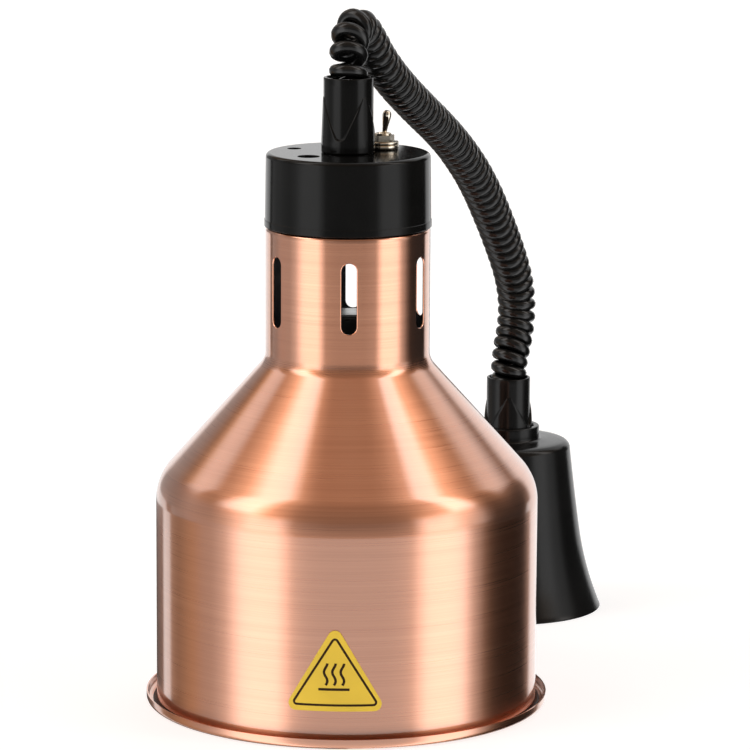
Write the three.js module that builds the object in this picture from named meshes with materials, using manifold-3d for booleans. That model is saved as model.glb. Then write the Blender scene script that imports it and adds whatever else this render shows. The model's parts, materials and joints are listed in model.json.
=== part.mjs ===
// Pendant heat lamp: a spun copper-coloured shade with a plastic top cap, a toggle switch and an
// infrared bulb, joined by a curly cord to a bell-shaped ceiling rose. The lamp stands on its rim and
// the rose stands on its open end behind it. Millimetres, +Z up; the origin is on the floor in the
// middle of the footprint of the lamp and the rose, and the camera side of the lamp is -Y.
import * as THREE from 'three';
import { mergeVertices } from 'three/addons/utils/BufferGeometryUtils.js';
import Module from 'manifold-3d';

const wasm = await Module();
wasm.setup();

// ---------------------------------------------------------------- driving dimensions
const GAP = 0.3;                      // air left between pieces that touch
const SHEET = 1.0;                    // thickness of the spun shade
const BODY_R = 134.9;                 // outside of the shade's cylinder
const RIM_R = 142.3;                  // outside of the curled rim
const RIM_H = 7.0;                    // height of the curled rim's lip
const RIM_CURL_R = 3.2;               // bend of the rim, on the sheet's middle
const SHOULDER_Z = 159.3;             // where cylinder and cone would meet
const SHOULDER_FILLET_R = 36;
const NECK_R = 57.8;                  // outside of the neck
const NECK_JOIN_Z = 245.8;            // where cone and neck would meet
const NECK_FILLET_R = 8;
const NECK_TOP_Z = 339.7;
const NECK_FLANGE = 7;                // width of the flange turned in at the top of the neck
const SLOT_W = 10.8;
const SLOT_H = 49.6;
const SLOT_Z = 297.1;                 // middle of a vent slot
const SLOT_AZIMUTHS = [1.3, 61.5, 116.5, 176.5, -130, -58.5];     // degrees round from the front

const CAP_Z = NECK_TOP_Z + GAP;
const CAP_TOP_Z = 391.7;
const CAP_R = 58.2;
const CAP_BAND_R = 58.6;              // slightly proud band at the cap's lower edge
const CAP_BAND_H = 5;
const CAP_DRAFT = 0.6;
const CAP_EDGE_R = 3;
const CAP_WALL = 3;
const CAP_HOLES = [[-38, 18, 4.65], [-27.3, -23.8, 7.5]];   // x, y and radius of the two open holes

const SLEEVE_H = 52.4;
const SLEEVE_WEB = 3;                 // floor of the sleeve that the gland clamps
const PETALS = 3;
const PETAL_TIP_W = 4.5;
const LAMP_SLEEVE = { r: 17.45, petalR: 18.9, bore: 15.2, apexDrop: 13.5, valleyDrop: 42.3, yaw: -49 };
const ROSE_SLEEVE = { r: 16.7, petalR: 19.35, bore: 14.8, apexDrop: 14.1, valleyDrop: 37.4, yaw: -90 };

const GLAND_STUD_R = 7.7;
const GLAND_HOLE_R = 8.1;
const GLAND_HEAD_R = 12;
const CORD_R = 4.5;                   // the cable itself
const COIL_R = 14;                    // outside of the curly cord's coil

const SWITCH_X = 24.2;
const SWITCH_Y = 19;
const SWITCH_AZIMUTH = -52;           // the way the lever leans at rest, in degrees from +X
const LEVER_TILT = 12.5;              // lean of the lever from upright at rest, in degrees
const LEVER_PIVOT_Z = 396.5;
const LEVER_L = 23.3;
const BUSHING_R = 6;
const BUSHING_TOP_Z = 402.9;
const SWITCH_RING_R = 11;
const SWITCH_NUT_AF = 14;

const BRACKET_TOP_Z = 279;            // upper face of the strap across the neck
const BRACKET_T = 1.5;
const BRACKET_HALF_X = 44;
const BRACKET_W = 28;
const BRACKET_EAR = 14;
const SOCKET_R = 21;
const SOCKET_BORE_R = 15.2;
const SOCKET_H = 56;
const SOCKET_SCREW_X = 11;
const BULB_R = 62.5;                  // the R125 reflector bulb
const BULB_FACE_Z = 78;
const BULB_CAP_R = 13.3;
const BULB_GLASS_T = 1.0;

const ROSE_DX = 122.6;                // from the lamp's axis to the rose's axis
const ROSE_DY = 287.5;
const ROSE_BASE_R = 73.1;
const ROSE_WALL = 2.5;
const ROSE_TOP_Z = 131.1;
const COLLAR_R = 24.1;
const COLLAR_TOP_Z = 141.9;
const COLLAR_BORE_R = 19.8;
const ROSE_FLOOR_Z = 126.8;           // upper face of the floor inside the collar
const ROSE_SLEEVE_Z = ROSE_FLOOR_Z + GAP;
const CEILING_STRAP_HALF = 61.5;
const CEILING_STRAP_W = 20;
const CEILING_STRAP_T = 2;

const WIRE_R = 1.4;
const WIRE_GAP = 1.2;                 // between a wire's slanted end and its terminal

const LABEL_HALF_W = 32.2;
const LABEL_H = 56.6;
const LABEL_Z = 53.7;                 // middle height of the label
const LABEL_YAW = -2.9;               // degrees from the front
const LABEL_T = 0.4;

const LAMP_X = (RIM_R - ROSE_DX - ROSE_BASE_R) / 2;
const LAMP_Y = (RIM_R - ROSE_DY - ROSE_BASE_R) / 2;
const LAMP_SLEEVE_Z = CAP_TOP_Z + GAP;

// The middle of the coil, as distance from the lamp's axis towards the rose's axis, and height.
const CORD_ROUTE = [
  [0, 434.3], [0, 446], [0, 458], [2.3, 466.6], [8.7, 473], [17.5, 475.3], [25, 473.6],
  [31.5, 468.8], [39.5, 461.3], [51, 451.8], [72, 438.6], [98, 423.8], [128, 408.5], [159, 393.3],
  [188, 378], [212, 363.3], [233, 348.6], [253.5, 331.6], [271.5, 314.3], [289, 296],
  [305, 277.8], [318.5, 259.8], [326.5, 242.8], [328.3, 227.8], [324.5, 212.8], [317.5, 198.8],
  [313.2, 186.8], [312.55, 176.8], [312.55, 166.8],
];

// ---------------------------------------------------------------- materials
const material = (color, roughness, metalness) =>
  new THREE.MeshStandardMaterial({ color, roughness, metalness });
const COPPER = material(0xc08a6c, 0.28, 1.0);
const STEEL = material(0xb8b8b4, 0.35, 1.0);
const NICKEL = material(0xd8cfc0, 0.18, 1.0);
const BRASS = material(0xc9a24e, 0.3, 1.0);
const BLACK_GLOSS = material(0x1c1d1c, 0.18, 0.0);
const BLACK_CORD = material(0x1b1b1a, 0.42, 0.0);
const CERAMIC = material(0x2b2a28, 0.5, 0.0);
const RED_GLASS = material(0xa01c14, 0.08, 0.0);
const LABEL_YELLOW = material(0xebc841, 0.45, 0.0);
const BLOCK_WHITE = material(0xe6e3da, 0.5, 0.0);
const WIRE_BROWN = material(0x5a3320, 0.5, 0.0);
const WIRE_BLUE = material(0x24539c, 0.5, 0.0);
const WIRE_GREEN = material(0x3c8a3a, 0.5, 0.0);

// ---------------------------------------------------------------- shape helpers
const radians = THREE.MathUtils.degToRad;

/** Points of an arc about (cx, cy), angles in degrees, both ends included. */
function arc(cx, cy, r, from, to, steps) {
  return Array.from({ length: steps + 1 }, (_, i) => {
    const a = radians(from + (to - from) * i / steps);
    return [cx + r * Math.cos(a), cy + r * Math.sin(a)];
  });
}

/** Turns a profile of [radius, height] points about Z; the profile runs anticlockwise. */
function lathe(profile, segments) {
  const geometry = new THREE.LatheGeometry(profile.map(([r, z]) => new THREE.Vector2(r, z)), segments);
  return geometry.rotateX(Math.PI / 2);
}

const closed = (profile) => [...profile, profile[0]];
const rod = (r, z0, z1, sides = 12) => lathe([[0, z0], [r, z0], [r, z1], [0, z1]], sides);
const ring = (rIn, rOut, z0, z1, sides = 20) =>
  lathe(closed([[rIn, z0], [rOut, z0], [rOut, z1], [rIn, z1]]), sides);

/** Gives a middle line of [radius, height] points a thickness and closes it into a profile. */
function sheetProfile(middle, thickness) {
  const offset = (side) => middle.map(([r, z], i) => {
    const [r0, z0] = middle[Math.max(i - 1, 0)];
    const [r1, z1] = middle[Math.min(i + 1, middle.length - 1)];
    const length = Math.hypot(r1 - r0, z1 - z0);
    return [r + side * (z1 - z0) / length * thickness / 2, z - side * (r1 - r0) / length * thickness / 2];
  });
  return closed([...offset(1), ...offset(-1).reverse()]);
}

/** Middle line of a round corner of radius r at point b, between the directions to a and c. */
function fillet(a, b, c, r, steps) {
  const u = new THREE.Vector2(a[0] - b[0], a[1] - b[1]).normalize();
  const v = new THREE.Vector2(c[0] - b[0], c[1] - b[1]).normalize();
  const half = Math.acos(u.dot(v)) / 2;
  const bisector = u.clone().add(v).normalize();
  const centre = new THREE.Vector2(...b).addScaledVector(bisector, r / Math.sin(half));
  const start = new THREE.Vector2(...b).addScaledVector(u, r / Math.tan(half)).sub(centre);
  const end = new THREE.Vector2(...b).addScaledVector(v, r / Math.tan(half)).sub(centre);
  const turn = Math.atan2(start.cross(end), start.dot(end));
  return Array.from({ length: steps + 1 }, (_, i) => {
    const p = start.clone().rotateAround(new THREE.Vector2(), turn * i / steps).add(centre);
    return [p.x, p.y];
  });
}

/** A flat outline of [x, y] points, with optional hole outlines, raised along Z by depth. */
function plate(outline, depth, holes = []) {
  const shape = new THREE.Shape(outline.map(([x, y]) => new THREE.Vector2(x, y)));
  for (const hole of holes) {
    shape.holes.push(new THREE.Path(hole.map(([x, y]) => new THREE.Vector2(x, y))));
  }
  return new THREE.ExtrudeGeometry(shape, { depth, bevelEnabled: false });
}

const circle = (cx, cy, r, steps) => arc(cx, cy, r, 0, 360 - 360 / steps, steps - 1);

/** A round bar of radius r along a smooth curve through the points. */
function tube(points, r, steps, sides = 8) {
  const curve = new THREE.CatmullRomCurve3(points.map((p) => new THREE.Vector3(...p)));
  const section = new THREE.Shape(circle(0, 0, r, sides).map(([x, y]) => new THREE.Vector2(x, y)));
  return new THREE.ExtrudeGeometry(section, { steps, extrudePath: curve });
}

/** The geometry as a solid for cutting and joining. */
function solid(geometry) {
  const bare = geometry.clone();
  bare.deleteAttribute('normal');
  bare.deleteAttribute('uv');
  bare.clearGroups();
  const merged = mergeVertices(bare, 1e-3);
  const triangles = [];
  for (let i = 0; i < merged.index.count; i += 3) {
    const [a, b, c] = [merged.index.getX(i), merged.index.getX(i + 1), merged.index.getX(i + 2)];
    if (a !== b && b !== c && c !== a) triangles.push(a, b, c);
  }
  return new wasm.Manifold(new wasm.Mesh({
    numProp: 3,
    vertProperties: new Float32Array(merged.attributes.position.array),
    triVerts: new Uint32Array(triangles),
  }));
}

function geometryOf(manifold) {
  const { vertProperties, triVerts } = manifold.getMesh();
  const geometry = new THREE.BufferGeometry();
  geometry.setAttribute('position', new THREE.BufferAttribute(new Float32Array(vertProperties), 3));
  geometry.setIndex(new THREE.BufferAttribute(new Uint32Array(triVerts), 1));
  return geometry;
}

const cut = (geometry, ...tools) =>
  geometryOf(tools.reduce((body, tool) => body.subtract(solid(tool)), solid(geometry)));

function piece(parent, name, geometry, finish) {
  const mesh = new THREE.Mesh(geometry, finish);
  mesh.name = name;
  parent.add(mesh);
  return mesh;
}

/** A hexagon nut with a round bore. */
function hexNut(acrossFlats, bore, z0, z1) {
  const corners = circle(0, 0, acrossFlats / Math.sqrt(3), 6);
  return plate(corners, z1 - z0, [circle(0, 0, bore, 16)]).translate(0, 0, z0);
}

/** A pan-head screw whose head sits on height z and whose shank points down by length. */
function screw(headR, shankR, z, length) {
  const headH = headR * 0.7;
  return lathe([
    [0, z - length], [shankR, z - length], [shankR, z], [headR, z],
    [headR, z + headH * 0.5], [headR * 0.7, z + headH], [0, z + headH],
  ], 10);
}

// ---------------------------------------------------------------- shade
function shadeMiddleLine() {
  const inset = SHEET / 2;
  const lip = RIM_R - inset;
  const wall = BODY_R - inset;
  const neck = NECK_R - inset;
  const curlZ = inset + RIM_CURL_R;
  const shoulder = fillet([wall, 0], [wall, SHOULDER_Z], [neck, NECK_JOIN_Z], SHOULDER_FILLET_R, 4);
  const neckFoot = fillet([wall, SHOULDER_Z], [neck, NECK_JOIN_Z], [neck, NECK_TOP_Z], NECK_FILLET_R, 2);
  const flangeZ = NECK_TOP_Z - inset;
  return [
    [lip, RIM_H],
    [lip, curlZ],
    ...arc(lip - RIM_CURL_R, curlZ, RIM_CURL_R, -30, -90, 2),
    ...arc(wall + RIM_CURL_R, curlZ, RIM_CURL_R, -90, -180, 3).map(([r, z]) => [Math.min(r, lip), z]),
    ...shoulder,
    ...neckFoot,
    ...fillet([neck, NECK_JOIN_Z], [neck, flangeZ], [neck - NECK_FLANGE, flangeZ], 2, 2),
    [neck - NECK_FLANGE, flangeZ],
  ];
}

function slotCutter(angle) {
  const half = SLOT_W / 2;
  const straight = SLOT_H / 2 - half;
  const outline = [...arc(0, straight, half, 0, 180, 6), ...arc(0, -straight, half, 180, 360, 6)];
  return plate(outline, NECK_R / 2).rotateX(Math.PI / 2).translate(0, -NECK_R * 0.7, SLOT_Z)
    .rotateZ(radians(angle));
}

function buildShade(parent) {
  const spun = lathe(sheetProfile(shadeMiddleLine(), SHEET), 48);
  piece(parent, 'shade', cut(spun, ...SLOT_AZIMUTHS.map(slotCutter)), COPPER);
}

/** A rounded triangle bent round the shade's front. */
function buildLabel(parent) {
  const corner = 5;
  const low = -LABEL_H / 2 + corner;
  const outline = [
    ...arc(0, LABEL_H / 2 - corner, corner, 30, 150, 4),
    ...arc(-LABEL_HALF_W + corner, low, corner, 150, 270, 4),
    ...arc(LABEL_HALF_W - corner, low, corner, -90, 30, 4),
  ];
  const stamp = plate(outline, BODY_R / 2).rotateX(Math.PI / 2).translate(0, -BODY_R * 0.7, 0);
  const inner = BODY_R + GAP;
  const band = ring(inner, inner + LABEL_T, -LABEL_H, LABEL_H, 120);
  const patch = geometryOf(solid(band).intersect(solid(stamp)));
  const placed = patch.rotateZ(radians(LABEL_YAW)).translate(0, 0, LABEL_Z);
  piece(parent, 'hot_surface_label', placed, LABEL_YELLOW);
}

// ---------------------------------------------------------------- cap, sleeves and glands
function buildCap(parent) {
  const under = CAP_TOP_Z - CAP_WALL;
  const top = CAP_R - CAP_DRAFT;
  const shell = lathe([
    [0, under], [CAP_R - CAP_WALL, under], [CAP_R - CAP_WALL, CAP_Z], [CAP_BAND_R, CAP_Z],
    [CAP_BAND_R, CAP_Z + CAP_BAND_H], [CAP_R, CAP_Z + CAP_BAND_H + GAP],
    ...arc(top - CAP_EDGE_R, CAP_TOP_Z - CAP_EDGE_R, CAP_EDGE_R, 0, 90, 4),
    [0, CAP_TOP_Z],
  ], 36);
  const drill = (x, y, r) => rod(r, under - 1, CAP_TOP_Z + 1, 24).translate(x, y, 0);
  piece(parent, 'top_cap', cut(
    shell,
    drill(0, 0, GLAND_HOLE_R),
    drill(SWITCH_X, SWITCH_Y, BUSHING_R + GAP),
    ...CAP_HOLES.map(([x, y, r]) => drill(x, y, r)),
  ), BLACK_GLOSS);
}

/** Tube with a clamped floor and pointed petals that stand proud of its lower part. */
function cordSleeve({ r, petalR, bore, apexDrop, valleyDrop, yaw }) {
  const floor = lathe(closed([
    [GLAND_HOLE_R, 0], [r, 0], [r, SLEEVE_H - 0.6], [r - 0.6, SLEEVE_H],
    [bore, SLEEVE_H], [bore, SLEEVE_WEB], [GLAND_HOLE_R, SLEEVE_WEB],
  ]), 24);
  const apex = SLEEVE_H - apexDrop;
  const petalBand = lathe(closed([
    [r - 1, 0], [petalR, 0], [petalR, apex - 9], [(petalR + r) / 2 + 0.3, apex - 3],
    [r + 0.2, apex], [r - 1, apex],
  ]), 24);
  const valley = SLEEVE_H - valleyDrop;
  const round = 4;
  const half = petalR * Math.sin(Math.PI / PETALS - PETAL_TIP_W / 2 / petalR);
  const outline = [...arc(0, valley + round, round, 200, 340, 6), [half, apex + 1], [-half, apex + 1]];
  const valleyCutter = (i) => plate(outline, petalR * 2).rotateX(Math.PI / 2)
    .rotateZ(radians(yaw + 90 + 360 / PETALS * (i + 0.5)));
  const cutters = Array.from({ length: PETALS }, (_, i) => solid(valleyCutter(i)));
  const petals = cutters.reduce((body, cutter) => body.subtract(cutter), solid(petalBand));
  return geometryOf(solid(floor).add(petals));
}

/** Compression gland that holds the cable in the sleeve's floor; height 0 is the floor's underside. */
function cordGland(stud) {
  const seat = SLEEVE_WEB + GAP;
  const bore = CORD_R + GAP;
  return lathe(closed([
    [bore, -stud], [GLAND_STUD_R, -stud], [GLAND_STUD_R, seat], [GLAND_HEAD_R, seat],
    [GLAND_HEAD_R, seat + 5], [8.5, seat + 12], [bore, seat + 12],
  ]), 16);
}

function buildCordEnd(parent, prefix, z, sleeve, seatThickness) {
  const stud = seatThickness + GAP + 8;
  const nutTop = z - GAP - seatThickness - GAP;
  piece(parent, `${prefix}_cord_sleeve`, cordSleeve(sleeve).translate(0, 0, z), BLACK_GLOSS);
  piece(parent, `${prefix}_cord_gland`, cordGland(stud).translate(0, 0, z), BLACK_GLOSS);
  piece(parent, `${prefix}_gland_nut`, hexNut(22, GLAND_STUD_R + GAP, nutTop - 5, nutTop), BLACK_GLOSS);
  piece(parent, `${prefix}_cord_tail`, rod(CORD_R, z - 20, z + SLEEVE_H - 13.5, 12), BLACK_CORD);
}

// ---------------------------------------------------------------- toggle switch
function buildSwitch(parent) {
  const group = new THREE.Group();
  group.position.set(SWITCH_X, SWITCH_Y, 0);
  group.rotation.z = radians(SWITCH_AZIMUTH);
  parent.add(group);
  const spacerTop = CAP_TOP_Z + GAP + 2.9;
  const washerTop = spacerTop + GAP + 1.9;
  const nutTop = washerTop + GAP + 4.2;
  const bodyTop = CAP_TOP_Z - CAP_WALL - 7.2;
  const bore = BUSHING_R + GAP;
  piece(group, 'switch_spacer', ring(bore, SWITCH_RING_R, CAP_TOP_Z + GAP, spacerTop), NICKEL);
  piece(group, 'switch_washer', ring(bore, SWITCH_RING_R, spacerTop + GAP, washerTop), NICKEL);
  piece(group, 'switch_nut', hexNut(SWITCH_NUT_AF, bore, washerTop + GAP, nutTop), NICKEL);
  piece(group, 'switch_bushing', lathe([
    [0, bodyTop + GAP], [BUSHING_R, bodyTop + GAP], [BUSHING_R, BUSHING_TOP_Z], [4.3, BUSHING_TOP_Z],
    [3.4, LEVER_PIVOT_Z - 3], [3.4, LEVER_PIVOT_Z - 8.5], [0, LEVER_PIVOT_Z - 8.5],
  ], 16), NICKEL);
  const body = new THREE.BoxGeometry(27, 13, 17).translate(0, 0, bodyTop - 8.5);
  piece(group, 'switch_body', body, BLACK_GLOSS);
  for (const [i, x] of [-8, 8].entries()) {
    const blade = new THREE.BoxGeometry(0.8, 6.3, 8).translate(x, 0, bodyTop - 17 - GAP - 4);
    piece(group, `switch_terminal_${i + 1}`, blade, BRASS);
  }
  const lever = piece(group, 'switch_lever', lathe([
    [0, -6], [1.5, -6], [1.5, -3], [2.7, -1], [2.7, 1], [1.6, 3], [1.6, 8], [2.2, 12],
    [3.15, LEVER_L - 4], [3.0, LEVER_L - 2], [2.0, LEVER_L - 0.5], [0, LEVER_L],
  ], 14), NICKEL);
  lever.position.z = LEVER_PIVOT_Z;
  lever.rotation.y = radians(LEVER_TILT);
}

// ---------------------------------------------------------------- socket, bracket and bulb
function buildBracket(parent) {
  const low = BRACKET_TOP_Z - BRACKET_T;
  const legTop = NECK_TOP_Z - SHEET - GAP - 1;
  const x = BRACKET_HALF_X;
  const earInner = x - BRACKET_EAR;
  const outline = [
    [-x, low], [x, low], [x, legTop], [earInner, legTop], [earInner, legTop - BRACKET_T],
    [x - BRACKET_T, legTop - BRACKET_T], [x - BRACKET_T, BRACKET_TOP_Z], [-x + BRACKET_T, BRACKET_TOP_Z],
    [-x + BRACKET_T, legTop - BRACKET_T], [-earInner, legTop - BRACKET_T], [-earInner, legTop], [-x, legTop],
  ];
  const strap = plate(outline, BRACKET_W).rotateX(Math.PI / 2).translate(0, BRACKET_W / 2, 0);
  const earX = x - BRACKET_EAR / 2;
  const hole = (cx, z) => rod(2.3, z - 4, z + 4, 12).translate(cx, 0, 0);
  piece(parent, 'socket_bracket', cut(
    strap,
    hole(earX, legTop), hole(-earX, legTop),
    hole(SOCKET_SCREW_X, low), hole(-SOCKET_SCREW_X, low),
  ), STEEL);
  const bossFoot = legTop + GAP;
  for (const [side, cx] of [['left', -earX], ['right', earX]]) {
    const boss = ring(1.9, 4.5, bossFoot, CAP_TOP_Z - CAP_WALL - GAP, 16).translate(cx, 0, 0);
    piece(parent, `bracket_pillar_${side}`, boss, STEEL);
    const fixing = screw(3.6, 1.6, 0, 9).rotateX(Math.PI).translate(cx, 0, legTop - BRACKET_T - GAP);
    piece(parent, `bracket_screw_${side}`, fixing, STEEL);
    const shank = screw(3.2, 2.0, BRACKET_TOP_Z + GAP, 9).translate(Math.sign(cx) * SOCKET_SCREW_X, 0, 0);
    piece(parent, `socket_screw_${side}`, shank, STEEL);
  }
}

function buildSocket(parent) {
  const top = BRACKET_TOP_Z - BRACKET_T - GAP;
  const low = top - SOCKET_H;
  const roof = top - 14;
  const holder = lathe([
    [0, roof], [SOCKET_BORE_R, roof], [SOCKET_BORE_R, low], [SOCKET_R - 1.5, low], [SOCKET_R - 1.5, low + 16],
    [SOCKET_R, low + 18], [SOCKET_R, top - 2], [SOCKET_R - 2, top], [0, top],
  ], 24);
  const pilot = (x) => rod(2.4, top - 8.5, top + 1, 12).translate(x, 0, 0);
  piece(parent, 'lamp_socket', cut(holder, pilot(-SOCKET_SCREW_X), pilot(SOCKET_SCREW_X)), CERAMIC);
  piece(parent, 'socket_shell', ring(13.9, 14.6, low + 2, roof - 4, 24), BRASS);
  const tongue = plate([[-5, 0], [5, 0], [5, 1], [1, 1.6], [-5, 1]], 5).rotateX(Math.PI / 2);
  piece(parent, 'socket_contact', tongue.translate(0, 2.5, roof - GAP - 1.6), BRASS);
}

function buildBulb(parent) {
  const face = BULB_FACE_Z;
  const capFoot = face + 140;
  const outside = [
    [0.6, face], [22, face + 1.2], [41, face + 4.8], [53, face + 10], [60, face + 18], [BULB_R, face + 29],
    [61.5, face + 40], [56, face + 56], [46.5, face + 74], [35.5, face + 92], [26, face + 108],
    [20, face + 122], [17.6, face + 132], [16.5, capFoot],
  ];
  const inside = outside.map(([r, z]) => [Math.max(r - BULB_GLASS_T, 0), z + BULB_GLASS_T]).reverse();
  const wall = [[0, face], ...outside.slice(1), [inside[0][0], capFoot], ...inside.slice(1, -1),
    [0, face + BULB_GLASS_T]];
  piece(parent, 'bulb_glass', lathe(wall, 24), RED_GLASS);
  const neckR = BULB_CAP_R + 0.2;
  const threads = Array.from({ length: 4 }, (_, i) => [
    [BULB_CAP_R, capFoot + 6 + i * 5], [BULB_CAP_R - 0.8, capFoot + 8.5 + i * 5],
  ]).flat();
  const capTop = capFoot + 27;
  piece(parent, 'bulb_cap', lathe(closed([
    [11.4, capFoot + GAP], [neckR, capFoot + GAP], [neckR, capFoot + 4], ...threads,
    [BULB_CAP_R - 1.5, capTop], [11.4, capTop],
  ]), 20), BRASS);
  piece(parent, 'bulb_insulator', lathe([
    [0, capTop + GAP], [11.2, capTop + GAP], [6, capTop + 3], [0, capTop + 3],
  ], 20), BLACK_GLOSS);
  piece(parent, 'bulb_contact', rod(4.5, capTop + 3 + GAP, capTop + 4.6, 16), BRASS);
  const leadZ = face + 88;
  piece(parent, 'bulb_filament', tube([
    [-4, 0, capTop - 8], [-4, 0, leadZ + 18], [-12, 0, leadZ], [-9, 8, leadZ - 5], [0, 12, leadZ - 7],
    [9, 8, leadZ - 5], [12, 0, leadZ], [4, 0, leadZ + 18], [4, 0, capTop - 8],
  ], 1.0, 20, 6), STEEL);
}

// ---------------------------------------------------------------- wiring in the head
function buildHeadWiring(parent) {
  const tailZ = LAMP_SLEEVE_Z - 20 - WIRE_GAP;
  const u = new THREE.Vector2(Math.cos(radians(SWITCH_AZIMUTH)), Math.sin(radians(SWITCH_AZIMUTH)));
  const bladeZ = CAP_TOP_Z - CAP_WALL - 7.2 - 17 - GAP - 8 - WIRE_GAP;
  const blade = (offset) => [SWITCH_X + u.x * offset, SWITCH_Y + u.y * offset];
  const [b1, b2] = [blade(-8), blade(8)];
  const socketSide = SOCKET_R + 4;
  const wires = [
    ['live_wire', WIRE_BROWN, [[1.8, 1, tailZ], [3, 4, tailZ - 14], [b1[0] - 3, b1[1] - 4, bladeZ - 12],
      [b1[0], b1[1], bladeZ - 6], [b1[0], b1[1], bladeZ]]],
    ['switched_wire', WIRE_BROWN, [[b2[0], b2[1], bladeZ], [b2[0], b2[1], bladeZ - 6],
      [26.5, -8, bladeZ - 14], [28, -24, bladeZ - 24], [33, -27, 300], [31, -24, 270], [socketSide, -14, 250]]],
    ['neutral_wire', WIRE_BLUE, [[-1.8, 1, tailZ], [-5, 10, tailZ - 16], [-28, 27, tailZ - 36],
      [-33, 29, 300], [-30, 25, 270], [-socketSide, 12, 250]]],
    ['earth_wire', WIRE_GREEN, [[0, -2.2, tailZ], [-4, -10, tailZ - 14], [-26, -18, tailZ - 30],
      [-40, -21, 318], [-42, -18.5, 300], [-43, -18, 288]]],
  ];
  for (const [name, finish, points] of wires) piece(parent, name, tube(points, WIRE_R, 9, 6), finish);
}

// ---------------------------------------------------------------- ceiling rose
function bellOutside() {
  const curve = new THREE.SplineCurve([
    [ROSE_BASE_R, 0], [70.7, 5.7], [64.1, 24.9], [57.9, 50.4], [53.3, 81.9], [49.5, 112.4], [48.2, 123.9],
  ].map(([r, z]) => new THREE.Vector2(r, z)));
  return curve.getSpacedPoints(9).map((p) => [p.x, p.y]);
}

function buildBell(parent) {
  const outside = bellOutside();
  const inside = outside.map(([r, z]) => [r - ROSE_WALL, z]).reverse();
  const shoulderR = outside.at(-1)[0];
  const shoulderZ = outside.at(-1)[1];
  const wall = closed([
    [GLAND_HOLE_R, ROSE_FLOOR_Z - ROSE_WALL], [20.3, ROSE_FLOOR_Z - ROSE_WALL], [22.5, ROSE_FLOOR_Z],
    [shoulderR - 7, ROSE_TOP_Z - ROSE_WALL - 1], ...inside,
    ...outside, ...arc(shoulderR - 6.5, shoulderZ, 6.5, 20, 70, 3), [shoulderR - 9, ROSE_TOP_Z - 0.5],
    [COLLAR_R + 2, ROSE_TOP_Z], [COLLAR_R, ROSE_TOP_Z + 2], [COLLAR_R, COLLAR_TOP_Z - 1],
    [COLLAR_R - 1, COLLAR_TOP_Z], [COLLAR_BORE_R, COLLAR_TOP_Z], [COLLAR_BORE_R, ROSE_FLOOR_Z],
    [GLAND_HOLE_R, ROSE_FLOOR_Z],
  ]);
  const screwHole = rod(2.2, 50, 90, 12).rotateX(-Math.PI / 2).translate(0, 0, 12);
  const holes = [screwHole, screwHole.clone().rotateZ(Math.PI)];
  piece(parent, 'rose_bell', cut(lathe(wall, 32), ...holes), BLACK_GLOSS);
}

function buildCeilingBracket(parent) {
  const z = 1.2;
  const half = CEILING_STRAP_HALF;
  const tab = 22;
  const inner = half - CEILING_STRAP_T;
  const upper = z + CEILING_STRAP_T;
  const outline = [
    [-half, z], [half, z], [half, tab], [inner, tab], [inner, upper],
    [-inner, upper], [-inner, tab], [-half, tab],
  ];
  const strap = plate(outline, CEILING_STRAP_W).rotateX(Math.PI / 2).translate(0, CEILING_STRAP_W / 2, 0);
  strap.rotateZ(Math.PI / 2);
  const slotOutline = (y) => [...arc(2.2, y, 2.4, -90, 90, 4), ...arc(-2.2, y, 2.4, 90, 270, 4)];
  const slot = (y) => plate(slotOutline(y), 10).translate(0, 0, -3);
  const thread = rod(2.2, 50, 70, 12).rotateX(-Math.PI / 2).translate(0, 0, 12);
  const cuts = [slot(32), slot(-32), thread, thread.clone().rotateZ(Math.PI)];
  piece(parent, 'ceiling_bracket', cut(strap, ...cuts), STEEL);
  for (const [side, turn] of [['back', 0], ['front', Math.PI]]) {
    const fixing = screw(3, 1.8, 70.6, 15).rotateX(-Math.PI / 2).translate(0, 0, 12).rotateZ(turn);
    piece(parent, `bell_screw_${side}`, fixing, STEEL);
  }
}

function buildTerminals(parent) {
  const foot = 1.2 + CEILING_STRAP_T + GAP;
  const height = 15;
  const box = new THREE.BoxGeometry(30, 16, height).translate(0, 0, foot + height / 2);
  const ways = [-9, 0, 9];
  const well = (x) => rod(2.6, foot + 7, foot + height + 1, 12).translate(x, 0, 0);
  piece(parent, 'terminal_block', cut(box, ...ways.map(well)), BLOCK_WHITE);
  const cores = [['live', WIRE_BROWN], ['earth', WIRE_GREEN], ['neutral', WIRE_BLUE]];
  const tailZ = ROSE_SLEEVE_Z - 20 - WIRE_GAP;
  for (const [i, [core, finish]] of cores.entries()) {
    const x = ways[i];
    const clamp = rod(2.2, foot + 7 + GAP, foot + height - 1.5, 12).translate(x, 0, 0);
    piece(parent, `terminal_screw_${i + 1}`, clamp, BRASS);
    piece(parent, `rose_${core}_wire`, tube([
      [x * 0.33, 0, tailZ], [x * 0.45, 3, tailZ - 12], [x * 1.1, 24, 70],
      [x * 1.6, 30, 40], [x * 1.1, 22, foot + 9], [x, 8 + WIRE_GAP, foot + 5],
    ], WIRE_R, 9, 6), finish);
  }
}

// ---------------------------------------------------------------- curly cord
function buildCord(parent) {
  const direction = new THREE.Vector2(ROSE_DX, ROSE_DY).normalize();
  const points = CORD_ROUTE.map(([s, z]) => [s * direction.x, s * direction.y, z]);
  piece(parent, 'curly_cord', tube(points, COIL_R, 48, 10), BLACK_CORD);
}

// ---------------------------------------------------------------- assembly
const heatLamp = new THREE.Group();
const head = new THREE.Group();
const rose = new THREE.Group();
head.position.set(LAMP_X, LAMP_Y, 0);
rose.position.set(LAMP_X + ROSE_DX, LAMP_Y + ROSE_DY, 0);
heatLamp.add(head, rose);

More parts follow.
